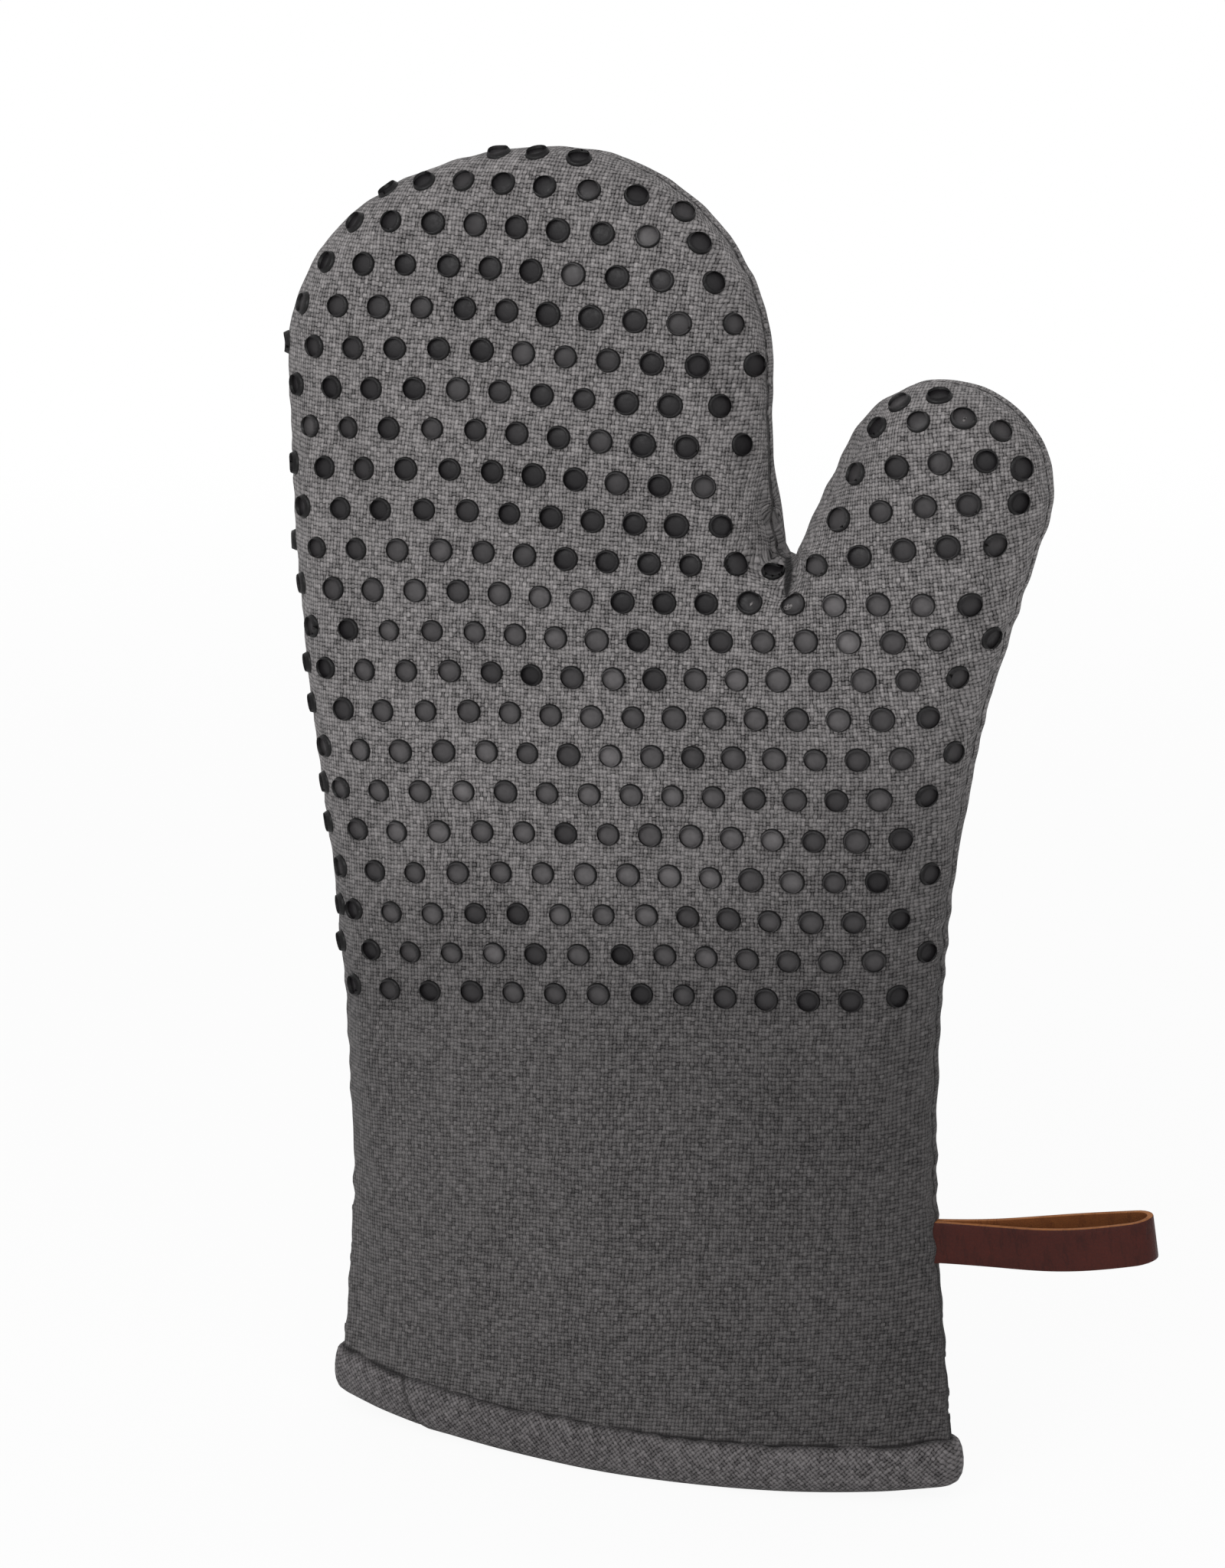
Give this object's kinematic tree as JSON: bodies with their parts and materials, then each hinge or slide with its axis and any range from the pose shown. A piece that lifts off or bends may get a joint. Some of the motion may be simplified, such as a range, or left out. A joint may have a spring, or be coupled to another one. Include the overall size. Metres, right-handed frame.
{
  "type": "oven mitt",
  "caption": "Padded canvas oven mitt with round silicone grip dots on the palm, a bound cuff and a folded leather hanging loop in the side seam.",
  "frame": {"origin": "middle of the cuff's opening, on the surface that the hem stands on", "axes": "+Z from the cuff to the fingertips, palm faces -Y, thumb towards +X"},
  "size_m": [0.2227, 0.0409, 0.3258],
  "materials": {
    "canvas": "plain-weave charcoal canvas, matte",
    "binding": "the same canvas cut on the bias, matte",
    "wadding": "cotton batting, hidden",
    "lining": "plain cotton lining, matte",
    "thread": "spun sewing thread",
    "silicone": "matte black silicone with a soft sheen",
    "leather": "reddish brown strap leather with tan cut edges"
  },
  "bodies": {
    "hand": {"back_lining": "lining", "back_shell": "canvas", "back_wadding": "wadding", "binding_stitches": "thread", "cuff_binding": "binding", "dot_row_01": "silicone", "dot_row_02": "silicone", "dot_row_03": "silicone", "dot_row_04": "silicone", "dot_row_05": "silicone", "dot_row_06": "silicone", "dot_row_07": "silicone", "dot_row_08": "silicone", "dot_row_09": "silicone", "dot_row_10": "silicone", "dot_row_11": "silicone", "dot_row_12": "silicone", "dot_row_13": "silicone", "dot_row_14": "silicone", "dot_row_15": "silicone", "dot_row_16": "silicone", "dot_row_17": "silicone", "dot_row_18": "silicone", "dot_row_19": "silicone", "dot_row_20": "silicone", "dot_row_21": "silicone", "dot_row_22": "silicone", "loop_root": "leather", "palm_lining": "lining", "palm_shell": "canvas", "palm_wadding": "wadding", "side_seam_stitches": "thread"},
    "thumb": {"thumb_back_lining": "lining", "thumb_back_shell": "canvas", "thumb_back_wadding": "wadding", "thumb_dot_row_10": "silicone", "thumb_dot_row_11": "silicone", "thumb_dot_row_12": "silicone", "thumb_dot_row_13": "silicone", "thumb_dot_row_14": "silicone", "thumb_dot_row_15": "silicone", "thumb_dot_row_16": "silicone", "thumb_palm_lining": "lining", "thumb_palm_shell": "canvas", "thumb_palm_wadding": "wadding", "thumb_seam_stitches": "thread"},
    "hanging_loop": {"hanging_loop": "leather"}
  },
  "joints": [
    {"name": "thumb_fold", "type": "hinge", "parent": "hand", "child": "thumb", "pos_m": [0.0363, -0.0212, 0.23232], "axis": [0.9135, 0, -0.4067], "range_deg": [0, 30], "stiffness_Nm_per_rad": 0.03},
    {"name": "loop_swing", "type": "hinge", "parent": "hand", "child": "hanging_loop", "pos_m": [0.07892, 0, 0.06634], "axis": [-0.1564, 0, 0.9877], "range_deg": [-75, 75], "stiffness_Nm_per_rad": 0.005}
  ]
}
